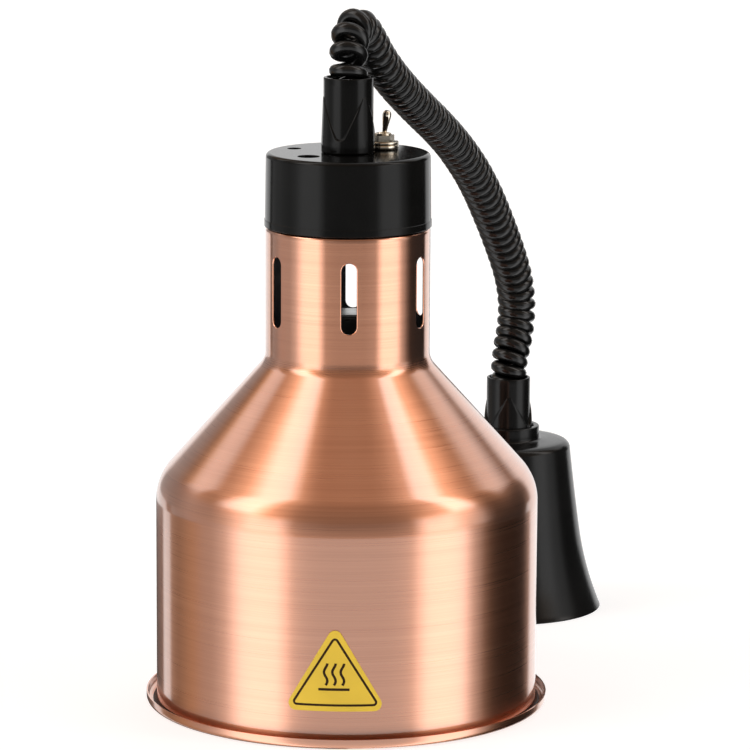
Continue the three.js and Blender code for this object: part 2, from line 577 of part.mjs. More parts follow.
buildShade(head);
buildLabel(head);
buildCap(head);
buildCordEnd(head, 'lamp', LAMP_SLEEVE_Z, LAMP_SLEEVE, CAP_WALL);
buildSwitch(head);
buildBracket(head);
buildSocket(head);
buildBulb(head);
buildHeadWiring(head);
buildCord(head);
buildBell(rose);
buildCordEnd(rose, 'rose', ROSE_SLEEVE_Z, ROSE_SLEEVE, ROSE_WALL);
buildCeilingBracket(rose);
buildTerminals(rose);

export default heatLamp;
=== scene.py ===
import json
import math

import bpy
import numpy as np
from mathutils import Matrix, Vector


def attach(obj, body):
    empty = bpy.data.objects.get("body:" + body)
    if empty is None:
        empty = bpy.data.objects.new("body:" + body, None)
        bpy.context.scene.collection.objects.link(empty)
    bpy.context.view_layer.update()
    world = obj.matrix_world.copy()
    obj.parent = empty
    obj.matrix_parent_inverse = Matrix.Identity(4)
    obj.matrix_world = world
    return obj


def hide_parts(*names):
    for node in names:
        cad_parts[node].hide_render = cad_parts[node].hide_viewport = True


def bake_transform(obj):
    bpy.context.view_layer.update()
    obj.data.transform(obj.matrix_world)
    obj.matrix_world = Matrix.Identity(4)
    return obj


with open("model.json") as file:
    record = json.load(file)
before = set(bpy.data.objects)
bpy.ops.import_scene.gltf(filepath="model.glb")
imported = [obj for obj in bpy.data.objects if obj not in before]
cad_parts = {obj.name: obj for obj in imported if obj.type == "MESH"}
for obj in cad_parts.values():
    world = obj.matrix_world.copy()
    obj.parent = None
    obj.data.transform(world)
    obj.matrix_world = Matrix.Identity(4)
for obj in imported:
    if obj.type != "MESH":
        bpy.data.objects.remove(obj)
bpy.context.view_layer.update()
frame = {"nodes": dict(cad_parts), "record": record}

MM = 0.001
LAMP = (-26.7, -109.15)               # the lamp's axis, in millimetres
ROSE = (95.9, 178.35)                 # the ceiling rose's axis
SHEET = 1.0                           # the shade's thickness
BODY_R = 134.9
RIM_R = 142.3
RIM_H = 7.0
RIM_CURL_R = 3.2
STRAIGHT_Z = (12, 128)                # the cylinder's straight part
SHOULDER_Z = 159.3                    # the corner of cylinder and cone, before it is rounded
SHOULDER_FILLET_R = 36
NECK_R = 57.8
NECK_JOIN_Z = 245.8                   # the corner of cone and neck, before it is rounded
NECK_FILLET_R = 15
NECK_TOP_Z = 339.7
FLANGE_W = 7
FLANGE_FILLET_R = 2
SLOT_W = 10.8
SLOT_H = 49.6
SLOT_Z = 297.1                        # middle of the vent slots
SLOT_AZIMUTHS = [1.3, 61.5, 116.5, 176.5, -130, -58.5]     # degrees round from the front
CAP_Z = 340.0
CAP_TOP_Z = 391.7
CAP_R = 58.2
CAP_WALL = 3
CAP_HOLES = [(-38, 18, 4.65), (-27.3, -23.8, 7.5)]         # x, y and radius
GLAND_HOLE_R = 8.1
SWITCH = (24.2, 19)                   # from the lamp's axis
SWITCH_BORE_R = 6.3
SLEEVE_H = 52.4
CORD_R = 4.5


# ---------------------------------------------------------------- camera
CAMERA_FORWARD = 2948.72              # horizontal distance in front of the lamp's axis
CAMERA_HEIGHT = 782.98
CAMERA_SIDE = 19.43
CAMERA_PITCH = 0.184172
CAMERA_ROLL = 0.00497
CAMERA_FOCAL_PX = 4260.14
FRAME_PX = 750
SENSOR = 36.0

camera_data = bpy.data.cameras.new("camera")
camera_data.sensor_width = SENSOR
camera_data.lens = CAMERA_FOCAL_PX / FRAME_PX * SENSOR
camera_data.clip_end = 100
camera = bpy.data.objects.new("camera", camera_data)
bpy.context.scene.collection.objects.link(camera)
turn = Matrix.Rotation(math.pi / 2 - CAMERA_PITCH, 4, "X") @ Matrix.Rotation(CAMERA_ROLL, 4, "Z")
place = Vector((LAMP[0] + CAMERA_SIDE, LAMP[1] - CAMERA_FORWARD, CAMERA_HEIGHT)) * MM
camera.matrix_world = Matrix.Translation(place) @ turn
bpy.context.scene.camera = camera


# ---------------------------------------------------------------- materials
def set_stops(ramp, stops):
    """Gives a colour ramp its stops of (position, colour)."""
    elements = ramp.color_ramp.elements
    while len(elements) < len(stops):
        elements.new(0.5)
    for element, (position, colour) in zip(elements, stops):
        element.position = position
        element.color = (*colour, 1)


class Nodes:
    """A new material's node tree, with short calls for the nodes that the materials share."""

    def __init__(self, name):
        self.material = bpy.data.materials.new(name)
        self.material.use_nodes = True
        self.tree = self.material.node_tree
        self.shader = self.tree.nodes["Principled BSDF"]
        self.coordinates = self.tree.nodes.new("ShaderNodeTexCoord").outputs["Object"]

    def add(self, kind, links=(), **values):
        node = self.tree.nodes.new(kind)
        for key, value in values.items():
            setattr(node, key, value)
        for socket, source in links:
            self.tree.links.new(source, node.inputs[socket])
        return node

    def noise(self, stretch, detail=3.0, roughness=0.5):
        mapping = self.add("ShaderNodeMapping", [("Vector", self.coordinates)])
        mapping.inputs["Scale"].default_value = stretch
        noise = self.add("ShaderNodeTexNoise", [("Vector", mapping.outputs[0])])
        noise.inputs["Scale"].default_value = 1.0
        noise.inputs["Detail"].default_value = detail
        noise.inputs["Roughness"].default_value = roughness
        return noise.outputs["Fac"]

    def spread(self, source, low, high, cut=(0.3, 0.7)):
        node = self.add("ShaderNodeMapRange", [("Value", source)])
        node.inputs["From Min"].default_value = cut[0]
        node.inputs["From Max"].default_value = cut[1]
        node.inputs["To Min"].default_value = low
        node.inputs["To Max"].default_value = high
        return node.outputs["Result"]

    def ramp(self, source, stops):
        node = self.add("ShaderNodeValToRGB", [("Fac", source)])
        set_stops(node, stops)
        return node.outputs["Color"]

    def bump(self, source, distance, strength=1.0):
        node = self.add("ShaderNodeBump", [("Height", source)])
        node.inputs["Distance"].default_value = distance
        node.inputs["Strength"].default_value = strength
        return node.outputs["Normal"]

    def plug(self, socket, source):
        self.tree.links.new(source, self.shader.inputs[socket])

    def set(self, **values):
        for socket, value in values.items():
            self.shader.inputs[socket.replace("_", " ")].default_value = value


def shaded(base, amount):
    """Ramp stops a little darker and a little lighter than a base colour."""
    darker = tuple(c * (1 - amount) for c in base)
    lighter = tuple(min(c * (1 + amount), 1) for c in base)
    return [(0.3, darker), (0.7, lighter)]


def plain_material(name, base, roughness, metallic=0.0, grain=(60, 60, 60), fine=(900, 900, 900),
                   amount=0.15, bump=0.00002, **sockets):
    """A material with blotchy colour, uneven roughness and a fine surface grain."""
    n = Nodes(name)
    blotch = n.noise(grain)
    n.plug("Base Color", n.ramp(blotch, shaded(base, amount)))
    n.plug("Roughness", n.spread(n.noise(fine, detail=2), roughness * 0.85, roughness * 1.15))
    n.plug("Normal", n.bump(n.noise(fine, detail=4), bump))
    n.set(Metallic=metallic, **sockets)
    return n.material


COPPER_TONES = [(0.3, (0.68, 0.27, 0.14)), (0.5, (0.76, 0.32, 0.175)), (0.7, (0.83, 0.37, 0.21))]
STREAK_GRAIN = (5, 5, 1500)           # noise is stretched round the axis and fine along it
BAND_GRAIN = (2.5, 2.5, 210)
BAND_SHARE = 0.45
STREAK_BUMP = 0.00002
COPPER_ROUGHNESS = (0.27, 0.34)
NECK_POLISH = 0.62                    # the neck's roughness against the cone's
POLISH_STEP = (-4, 14)                # from the corner of cone and neck


def copper_material():
    """Spun copper, brushed round its axis, with a smoother neck and a coat of lacquer."""
    n = Nodes("brushed_copper")
    streaks = n.noise(STREAK_GRAIN, detail=2, roughness=0.7)
    bands = n.noise(BAND_GRAIN, detail=3, roughness=0.6)
    mix = n.add("ShaderNodeMix", [(2, streaks), (3, bands)])
    mix.inputs[0].default_value = BAND_SHARE
    n.plug("Base Color", n.ramp(mix.outputs[0], COPPER_TONES))
    height = n.add("ShaderNodeSeparateXYZ", [(0, n.coordinates)]).outputs["Z"]
    step = tuple((NECK_JOIN_Z + distance) * MM for distance in POLISH_STEP)
    polish = n.spread(height, 1.0, NECK_POLISH, cut=step)
    uneven = n.spread(streaks, *COPPER_ROUGHNESS)
    rough = n.add("ShaderNodeMath", [(0, uneven), (1, polish)], operation="MULTIPLY")
    n.plug("Roughness", rough.outputs[0])
    n.plug("Normal", n.bump(streaks, STREAK_BUMP, 0.15))
    tangent = n.add("ShaderNodeTangent", direction_type="RADIAL", axis="Z")
    n.plug("Tangent", tangent.outputs["Tangent"])
    n.set(Metallic=1.0, Anisotropic=0.88, Anisotropic_Rotation=0.25)
    n.set(Coat_Weight=1.0, Coat_Roughness=0.06, Coat_IOR=2.0)
    return n.material


COPPER = copper_material()
# painted shade: dark copper along the foot of the cylinder, standing in for the shadow in the groove behind
# the rim
PAINTED_CREASE_SHADE = plain_material("painted_crease_shade", (0.03, 0.016, 0.012), 0.45, 1.0, grain=(40, 40, 40), amount=0.25)
INSIDE = plain_material("inside_paint", (0.09, 0.095, 0.1), 0.45, grain=(30, 30, 90), amount=0.2)
BLACK = plain_material("black_moulding", (0.004, 0.004, 0.0038), 0.13, grain=(25, 25, 25),
                       fine=(500, 500, 500), amount=0.3, bump=0.00001, IOR=1.29)
ROSE_BLACK = plain_material("rose_moulding", (0.005, 0.005, 0.005), 0.2, grain=(25, 25, 25),
                            fine=(420, 420, 420), amount=0.3, bump=0.00002, IOR=1.32)
CORD_BLACK = plain_material("cord_jacket", (0.006, 0.006, 0.006), 0.19, grain=(90, 90, 90),
                            fine=(700, 700, 700), amount=0.35, bump=0.00003, IOR=1.42)
NICKEL = plain_material("bright_nickel", (0.78, 0.70, 0.58), 0.16, 1.0, grain=(160, 160, 400),
                        fine=(1500, 1500, 1500), amount=0.12)
STEEL = plain_material("zinc_plate", (0.55, 0.55, 0.53), 0.34, 1.0, grain=(70, 70, 200), amount=0.2)
BRASS = plain_material("bare_brass", (0.72, 0.52, 0.22), 0.28, 1.0, grain=(120, 120, 120), amount=0.2)
SOCKET = plain_material("socket_moulding", (0.03, 0.028, 0.026), 0.5, grain=(80, 80, 80), amount=0.3)
YELLOW = plain_material("label_vinyl", (0.84, 0.58, 0.04), 0.5, grain=(40, 40, 40), amount=0.05,
                        bump=0.000008)
INK = plain_material("label_ink", (0.035, 0.018, 0.008), 0.6, grain=(300, 300, 300), amount=0.25,
                     bump=0.000008, IOR=1.2)
WHITE = plain_material("block_moulding", (0.70, 0.68, 0.61), 0.45, grain=(90, 90, 90), amount=0.08)
BROWN = plain_material("wire_brown", (0.12, 0.045, 0.02), 0.42, amount=0.2)
BLUE = plain_material("wire_blue", (0.02, 0.08, 0.33), 0.42, amount=0.2)
GREEN = plain_material("wire_green", (0.05, 0.28, 0.05), 0.42, amount=0.2)
RED_GLASS = plain_material("red_lens", (0.42, 0.015, 0.008), 0.08, grain=(30, 30, 30), amount=0.15,
                           Transmission_Weight=0.35, Coat_Weight=0.5)

SLOT_MATERIALS = {
    "copper_shade": COPPER, "black_plastic": BLACK, "black_cord": CORD_BLACK, "nickel": NICKEL,
    "plated_steel": STEEL, "brass": BRASS, "dark_socket": SOCKET, "bulb_glass": RED_GLASS,
    "label": YELLOW, "white_block": WHITE, "wire_brown": BROWN, "wire_blue": BLUE, "wire_green": GREEN,
}


# ---------------------------------------------------------------- mesh helpers
def finish_mesh(mesh, sharp=32):
    """Shades a mesh smooth, but for edges sharper than an angle in degrees."""
    mesh.polygons.foreach_set("use_smooth", [True] * len(mesh.polygons))
    mesh.set_sharp_from_angle(angle=math.radians(sharp))
    mesh.update()


def paint(piece, *materials):
    """Gives a piece these materials, and all its faces the first of them."""
    mesh = piece.data
    mesh.materials.clear()
    for material in materials:
        mesh.materials.append(material)
    mesh.polygons.foreach_set("material_index", [0] * len(mesh.polygons))


def new_piece(name, points, faces, materials, at=(0, 0), indices=None, sharp=32):
    """A mesh object from points in millimetres about a vertical axis at (x, y)."""
    mesh = bpy.data.meshes.new(name)
    mesh.from_pydata([(x * MM, y * MM, z * MM) for x, y, z in points], [], faces)
    for material in materials:
        mesh.materials.append(material)
    if indices is not None:
        mesh.polygons.foreach_set("material_index", indices)
    finish_mesh(mesh, sharp)
    piece = bpy.data.objects.new(name, mesh)
    bpy.context.scene.collection.objects.link(piece)
    piece.location = (at[0] * MM, at[1] * MM, 0)
    return piece


def lathe_data(profile, segments):
    """Points and faces of a closed profile of (radius, height) turned about Z; it may end on the axis."""
    rings = []
    points = []
    for r, z in profile:
        if r < 1e-6:
            rings.append([len(points)])
            points.append((0, 0, z))
            continue
        rings.append(list(range(len(points), len(points) + segments)))
        for i in range(segments):
            a = 2 * math.pi * i / segments
            points.append((r * math.cos(a), r * math.sin(a), z))
    closed = len(rings[0]) > 1
    following = rings[1:] + (rings[:1] if closed else [])
    faces = []
    for low, high in zip(rings, following):
        for i in range(segments):
            j = (i + 1) % segments
            if len(low) == 1 and len(high) == 1:
                continue
            if len(low) == 1:
                faces.append((low[0], high[j], high[i]))
            elif len(high) == 1:
                faces.append((low[i], low[j], high[0]))
            else:
                faces.append((low[i], low[j], high[j], high[i]))
    return points, faces


def lathe(name, profile, material, at, segments=96, sharp=32):
    points, faces = lathe_data(profile, segments)
    return new_piece(name, points, faces, [material], at, sharp=sharp)


def arc(cx, cy, r, start, end, steps):
    """Points of an arc between two angles in degrees."""
    angles = [math.radians(start + (end - start) * i / steps) for i in range(steps + 1)]
    return [(cx + r * math.cos(a), cy + r * math.sin(a)) for a in angles]


def spline(knots, steps):
    """Points of a Catmull-Rom curve through the knots, with so many steps from one to the next."""
    p = np.array(knots, float)
    p = np.vstack([2 * p[0] - p[1], p, 2 * p[-1] - p[-2]])
    out = []
    for a, b, c, d in zip(p, p[1:], p[2:], p[3:]):
        square = 2 * a - 5 * b + 4 * c - d
        cube = 3 * b - a - 3 * c + d
        for k in range(steps):
            t = k / steps
            out.append(0.5 * (2 * b + (c - a) * t + square * t * t + cube * t ** 3))
    out.append(p[-2])
    return np.array(out)


def fillet(a, b, c, r, steps):
    """Points of a round corner of radius r at b, between the directions to a and c."""
    a, b, c = (Vector((*p, 0)) for p in (a, b, c))
    u = (a - b).normalized()
    v = (c - b).normalized()
    half = u.angle(v) / 2
    centre = b + (u + v).normalized() * (r / math.sin(half))
    start = b + u * (r / math.tan(half)) - centre
    end = b + v * (r / math.tan(half)) - centre
    swing = math.atan2(start.cross(end).z, start.dot(end))
    points = [Matrix.Rotation(swing * i / steps, 3, "Z") @ start + centre for i in range(steps + 1)]
    return [(p.x, p.y) for p in points]


def subtract(piece, *cutters):
    """Cuts closed meshes, which are then removed, out of a piece."""
    for tool in cutters:
        modifier = piece.modifiers.new("cut", "BOOLEAN")
        modifier.operation = "DIFFERENCE"
        modifier.solver = "EXACT"
        modifier.object = tool
    bpy.context.view_layer.update()
    graph = bpy.context.evaluated_depsgraph_get()
    mesh = bpy.data.meshes.new_from_object(piece.evaluated_get(graph))
    piece.modifiers.clear()
    old = piece.data
    piece.data = mesh
    bpy.data.meshes.remove(old)
    mesh.name = piece.name
    for tool in cutters:
        bpy.data.objects.remove(tool)
    finish_mesh(mesh)


def even_normals(piece):
    """Lets large faces lead the shading, so that flat ones look flat."""
    normals = piece.modifiers.new("normals", "WEIGHTED_NORMAL")
    normals.keep_sharp = True


def soft_edges(piece, width, segments=2, angle=35):
    bevel = piece.modifiers.new("edges", "BEVEL")
    bevel.width = width * MM
    bevel.segments = segments
    bevel.limit_method = "ANGLE"
    bevel.angle_limit = math.radians(angle)
    even_normals(piece)


def cutter(profile, at, shift=(0, 0), segments=32):
    """A turned cutter whose own axis is shifted by (x, y) from the piece's."""
    points, faces = lathe_data(profile, segments)
    dx, dy = shift
    return new_piece("cutter", [(x + dx, y + dy, z) for x, y, z in points], faces, [], at)


def plain_hole(r, low, high):
    """Cutter profile of a straight hole."""
    return [(0, low), (r, low), (r, high), (0, high)]


def lipped_hole(r, top, depth):
    """Cutter profile of a hole from above, with a rounded lip."""
    low = top - depth
    lip = [(r, top - 0.6), (r + 0.12, top - 0.3), (r + 0.5, top), (r + 1.5, top + 1)]
    return [(0, low), (r, low)] + lip + [(0, top + 1)]


# ---------------------------------------------------------------- curly cord
LAMP_TO_ROSE = Vector((ROSE[0] - LAMP[0], ROSE[1] - LAMP[1], 0))
CORD_ROUTE = [                        # distance from the lamp's axis towards the rose's axis, and height
    (0, 434.3), (0, 444), (0, 455), (0.7, 464.2), (3.4, 472), (8.2, 476.6), (14, 477.7), (21, 475.6),
    (28, 471.2), (35.5, 465.4), (43, 459.2), (51, 452.6), (72, 438.6), (98, 423.8), (128, 408.5),
    (159, 393.3), (188, 378), (212, 363.3), (233, 348.6), (253.5, 331.6), (271.5, 314.3), (289, 296),
    (305, 277.8), (318.5, 259.8), (326.5, 242.8), (328.3, 227.8), (324.5, 212.8), (317.5, 198.8),
    (313.2, 186.8), (312.55, 176.8), (312.55, 166.8),
]
ROUTE_STEPS = 40                      # points between two route points
TURN_STEPS = 28
CORD_SIDES = 12
COIL_START = 158                      # degrees round from the side towards the rose
COIL_ENDS = 8                         # length at each end over which the helix opens from the route
# radius of the helix against the distance along the route, from the lamp end
HELIX_RADII = [(0, 9.5), (250, 9.6), (340, 10.4), (490, 10.3), (506, 9.6), (528, 9.5)]
# pitch of the coil against the same distance
PITCHES = [(0, 13.5), (16, 13.3), (26, 12), (34, 10), (42, 9.4), (60, 9.3), (80, 9.2), (505, 9.1)]
# degrees by which the turns lean further back, and to the left, than the route does
LEANS_BACK = [(0, 0), (8, 8), (16, 18), (28, 38), (38, 30), (50, 16), (72, 5), (95, 0)]
LEANS_LEFT = [(0, 0), (8, 9), (16, 14), (28, 16), (38, 12), (50, 6), (72, 0), (95, 0)]


def ease(t):
    """A smooth step from 0 to 1."""
    t = min(max(t, 0), 1)
    return t * t * (3 - 2 * t)


def coil_points():
    """Points of the cable's own middle line, wound about the route."""
    route = spline(CORD_ROUTE, ROUTE_STEPS)
    steps = np.diff(route, axis=0)
    along = np.concatenate([[0], np.cumsum(np.hypot(*steps.T))])
    total = along[-1]
    direction = np.array(LAMP_TO_ROSE.normalized())
    side = np.cross(direction, (0, 0, 1))

    def on_route(s):
        """How far out from the lamp's axis, and how high, the route is at a distance along it."""
        return np.array([np.interp(s, along, route[:, k]) for k in (0, 1)])

    def look_up(table, s):
        return np.interp(s, *zip(*table))

    points = []
    s = 0.0
    angle = math.radians(COIL_START)
    while s < total:
        out, up = on_route(s)
        centre = np.array((LAMP[0], LAMP[1], 0)) + direction * out + np.array((0, 0, up))
        d_out, d_up = on_route(min(s + 1, total)) - on_route(max(s - 1, 0))
        tilt = math.atan2(d_out, d_up)
        normal = direction * math.cos(tilt) + np.array((0, 0, -math.sin(tilt)))
        back = math.radians(look_up(LEANS_BACK, s))
        left = math.radians(look_up(LEANS_LEFT, s))
        lean = np.array(Matrix.Rotation(-back, 3, "X") @ Matrix.Rotation(-left, 3, "Y"))
        radius = look_up(HELIX_RADII, s) * ease(s / COIL_ENDS) * ease((total - s) / COIL_ENDS)
        points.append(centre + radius * lean @ (normal * math.cos(angle) + side * math.sin(angle)))
        s += look_up(PITCHES, s) / TURN_STEPS
        angle += 2 * math.pi / TURN_STEPS
    return np.array(points)


def tube_mesh(name, line, radius, sides, material):
    """A closed tube round a row of points, which doesn't start in the direction of across."""
    across = (0.3, 0.5, 0.8)
    count = len(line)
    tangents = np.gradient(line, axis=0)
    tangents /= np.linalg.norm(tangents, axis=1)[:, None]
    normal = np.cross(tangents[0], across)
    points = []
    for point, tangent in zip(line, tangents):
        normal = normal - tangent * normal.dot(tangent)
        normal /= np.linalg.norm(normal)
        other = np.cross(tangent, normal)
        for k in range(sides):
            a = 2 * math.pi * k / sides
            points.append(point + radius * (normal * math.cos(a) + other * math.sin(a)))
    faces = []
    for i in range(count - 1):
        for k in range(sides):
            j = (k + 1) % sides
            faces.append((i * sides + k, i * sides + j, (i + 1) * sides + j, (i + 1) * sides + k))
    faces.append(tuple(reversed(range(sides))))
    faces.append(tuple(range((count - 1) * sides, count * sides)))
    return new_piece(name, points, faces, [material], sharp=60)


cord_line = coil_points()
curly = tube_mesh("curly_cord_coil", cord_line, CORD_R, CORD_SIDES, CORD_BLACK)
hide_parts("curly_cord")
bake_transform(curly)


# ---------------------------------------------------------------- shade
LIP_ROWS = 10                         # the rolled rim's rows at the start of the middle line
CREASE_SHADE_H = 4.6                        # height of the painted shade in the groove between rim and cylinder
CREASE_SHADE_W = 2.6
# depth of a vent slot's cutter: radius, and how much wider than the slot it is there
SLOT_RINGS = [(49, 0), (NECK_R - 0.6, 0), (NECK_R - 0.35, 0.06), (NECK_R - 0.15, 0.2),
              (NECK_R - 0.02, 0.45), (NECK_R + 3, 3.4)]


def shade_middle_line():
    """The sheet's middle from the rim to the flange inside the top, as (radius, height)."""
    inset = SHEET / 2
    lip = RIM_R - inset
    wall = BODY_R - inset
    neck = NECK_R - inset
    curl_z = inset + RIM_CURL_R
    flange_z = NECK_TOP_Z - inset
    shoulder_corner = (wall, SHOULDER_Z)
    neck_corner = (neck, NECK_JOIN_Z)
    rows = [(lip, z) for z in np.linspace(RIM_H, curl_z, 3)]
    rows += arc(lip - RIM_CURL_R, curl_z, RIM_CURL_R, -15, -90, 6)
    rows += [(min(r, lip), z) for r, z in arc(wall + RIM_CURL_R, curl_z, RIM_CURL_R, -90, -180, 7)]
    rows += [(wall, z) for z in np.linspace(*STRAIGHT_Z, 14)]
    rows += fillet((wall, 0), shoulder_corner, neck_corner, SHOULDER_FILLET_R, 18)
    r0, z0 = rows[-1]
    foot = fillet(shoulder_corner, neck_corner, (neck, NECK_TOP_Z), NECK_FILLET_R, 10)
    r1, z1 = foot[0]
    rows += [(r0 + (r1 - r0) * t, z0 + (z1 - z0) * t) for t in np.linspace(0, 1, 14)[1:-1]]
    rows += foot
    rows += [(neck, z) for z in np.arange(foot[-1][1] + 2, NECK_TOP_Z - 3.5, 2)]
    flange = (neck - FLANGE_W, flange_z)
    rows += fillet(neck_corner, (neck, flange_z), flange, FLANGE_FILLET_R, 4)
    rows.append(flange)
    return rows


def sheet_profile(middle, thickness):
    """A closed profile from a middle line and a thickness."""

    def offset(side):
        out = []
        for i, (r, z) in enumerate(middle):
            r0, z0 = middle[max(i - 1, 0)]
            r1, z1 = middle[min(i + 1, len(middle) - 1)]
            length = math.hypot(r1 - r0, z1 - z0)
            outward = side * (z1 - z0) / length * thickness / 2
            upward = side * (r1 - r0) / length * thickness / 2
            out.append((r + outward, z - upward))
        return out

    return offset(1) + offset(-1)[::-1]


def slot_cutter(yaw):
    """Closed cutter for a vent slot, bent round the neck and flared at the surface."""
    half = SLOT_W / 2
    straight = SLOT_H / 2 - half
    outline = []
    for cy, start in ((straight, 0), (-straight, 180)):
        outline += [(x, y, cy) for x, y in arc(0, 0, 1, start, start + 180, 15)]
    points = []
    for r, grow in SLOT_RINGS:
        for x, y, cy in outline:
            a = x * (half + grow) / NECK_R
            points.append((r * math.sin(a), -r * math.cos(a), cy + y * (half + grow) + SLOT_Z))
    count = len(outline)
    outer_ring = (len(SLOT_RINGS) - 1) * count
    inner_middle = len(points)
    outer_middle = inner_middle + 1
    points.append((0, -SLOT_RINGS[0][0], SLOT_Z))
    points.append((0, -SLOT_RINGS[-1][0], SLOT_Z))
    faces = []
    for start in range(0, outer_ring, count):
        for i in range(count):
            j = (i + 1) % count
            faces.append((start + i, start + j, start + count + j, start + count + i))
    for i in range(count):
        j = (i + 1) % count
        faces.append((inner_middle, j, i))
        faces.append((outer_middle, outer_ring + i, outer_ring + j))
    spin = Matrix.Rotation(math.radians(yaw), 3, "Z")
    return new_piece("cutter", [spin @ Vector(p) for p in points], faces, [], LAMP)


def build_shade():
    middle = shade_middle_line()
    points, faces = lathe_data(sheet_profile(middle, SHEET), 216)
    shade = new_piece("shade_shell", points, faces, [COPPER], LAMP)
    subtract(shade, *[slot_cutter(azimuth) for azimuth in SLOT_AZIMUTHS])
    # the third material is the painted shade in the groove between rim and cylinder
    paint(shade, COPPER, INSIDE, PAINTED_CREASE_SHADE)
    radii, heights = np.array(middle[LIP_ROWS:]).T
    for face in shade.data.polygons:
        x, y, z = face.center / MM
        r = math.hypot(x, y)
        outward = (face.normal.x * x + face.normal.y * y) / r
        in_crease_shade = BODY_R - 0.1 < r < BODY_R + CREASE_SHADE_W and z < CREASE_SHADE_H
        under_sheet = z > 2 and r < np.interp(z, heights, radii) - 0.2
        on_flange = z > NECK_TOP_Z - 3 and r < NECK_R - 2
        # outward faces in the groove above the rim get the painted shade
        if in_crease_shade and outward > 0:
            face.material_index = 2
        elif (under_sheet and outward < -0.2) or (on_flange and outward < 0.3):
            face.material_index = 1
    even_normals(shade)
    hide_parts("shade")
    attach(shade, "lamp_head")


build_shade()


# ---------------------------------------------------------------- label
LABEL_HALF_W = 32.2
LABEL_H = 56.6
LABEL_Z = 53.7
LABEL_YAW = -2.9
LABEL_R = BODY_R + 0.3
LABEL_T = 0.4
LABEL_CORNER = 5
LABEL_COLUMNS = 81
INK_T = 0.04
BORDER = (28.2, -24.0, 22.2, 1.9)     # half width, foot, top and corner of the printed triangle
BORDER_W = 1.6
WAVES = (-6.3, -0.6, 5.1)             # the symbol's three rising waves
WAVE_FOOT = -10.0
WAVE_H = 15.4
WAVE_SWING = 1.15
WAVE_W = 1.75
HOT_LINE = (-11.3, 10.0)              # the line under the waves
HOT_LINE_Z = -12.9
HOT_LINE_W = 1.8


def on_body(s, z, lift):
    """A label point at distance s to the right of its middle and height z, bent round the shade."""
    a = s / LABEL_R + math.radians(LABEL_YAW)
    r = LABEL_R + lift
    return (r * math.sin(a), -r * math.cos(a), z + LABEL_Z)


def rounded_triangle(half_w, low, high, corner, steps=8):
    """Outline of an upright triangle whose corners are rounded, anticlockwise from the right."""
    centres = [(half_w - corner, low + corner), (0, high - corner), (-half_w + corner, low + corner)]
    points = []
    for (cx, cz), start in zip(centres, (-90, 30, 150)):
        points += arc(cx, cz, corner, start, start + 120, steps)
    return points


def dense(outline, step):
    """A closed outline with points no further apart than a step."""
    out = []
    for (x0, z0), (x1, z1) in zip(outline, outline[1:] + outline[:1]):
        n = max(1, math.ceil(math.hypot(x1 - x0, z1 - z0) / step))
        out += [(x0 + (x1 - x0) * k / n, z0 + (z1 - z0) * k / n) for k in range(n)]
    return out


def build_label():
    outline = rounded_triangle(LABEL_HALF_W, -LABEL_H / 2, LABEL_H / 2, LABEL_CORNER)
    edge = np.array(dense(outline, 0.8))
    columns = np.linspace(-LABEL_HALF_W, LABEL_HALF_W, LABEL_COLUMNS)

    def span(x):
        """Lowest and highest point of the outline at x."""
        zs = []
        for (x0, z0), (x1, z1) in zip(edge, np.roll(edge, -1, axis=0)):
            if min(x0, x1) - 1e-9 <= x <= max(x0, x1) + 1e-9:
                upright = abs(x1 - x0) < 1e-9
                zs += [z0, z1] if upright else [z0 + (z1 - z0) * (x - x0) / (x1 - x0)]
        return min(zs), max(zs)

    spans = [span(x) for x in columns]
    points = []
    for lift in (0, LABEL_T):
        for x, (low, high) in zip(columns, spans):
            points += [on_body(x, low, lift), on_body(x, high, lift)]
    half = len(points) // 2
    last = half - 2
    faces = []
    for a in range(0, last, 2):
        b, c, d = a + 1, a + 2, a + 3
        faces += [(a, b, d, c), (a + half, c + half, d + half, b + half),
                  (a, c, c + half, a + half), (b, b + half, d + half, d)]
    faces += [(0, half, half + 1, 1), (last, last + 1, last + 1 + half, last + half)]
    indices = [0] * len(faces)

    def strip(line, width, close=False):
        """A printed line of a width along points on the label."""
        line = np.array(line, float)
        ahead = np.roll(line, -1, axis=0)
        back = np.roll(line, 1, axis=0)
        if not close:
            ahead[-1], back[0] = line[-1], line[0]
        tangent = ahead - back
        tangent /= np.linalg.norm(tangent, axis=1)[:, None]
        side = np.stack([-tangent[:, 1], tangent[:, 0]], 1) * width / 2
        start = len(points)
        for p, q in zip(line, side):
            points.append(on_body(*(p + q), LABEL_T + INK_T))
            points.append(on_body(*(p - q), LABEL_T + INK_T))
        n = len(line)
        for i in range(n if close else n - 1):
            j = (i + 1) % n
            faces.append((start + 2 * i, start + 2 * i + 1, start + 2 * j + 1, start + 2 * j))
            indices.append(1)

    def wave(x, t):
        return (x + WAVE_SWING * math.sin(math.pi * 2 * t * 1.25), WAVE_FOOT + WAVE_H * t)

    strip(dense(rounded_triangle(*BORDER, 5), 1.0), BORDER_W, close=True)
    for x in WAVES:
        strip([wave(x, t) for t in np.linspace(0, 1, 26)], WAVE_W)
    strip([(x, HOT_LINE_Z) for x in np.linspace(*HOT_LINE, 16)], HOT_LINE_W)
    label = new_piece("warning_label", points, faces, [YELLOW, INK], LAMP, indices)
    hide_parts("hot_surface_label")
    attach(label, "lamp_head")


build_label()


# ---------------------------------------------------------------- top cap
CAP_BAND_H = 5.0                      # the thicker band at the foot
CAP_BAND_T = 0.4
CAP_ROUNDING_R = 3
CAP_TAPER = 0.6


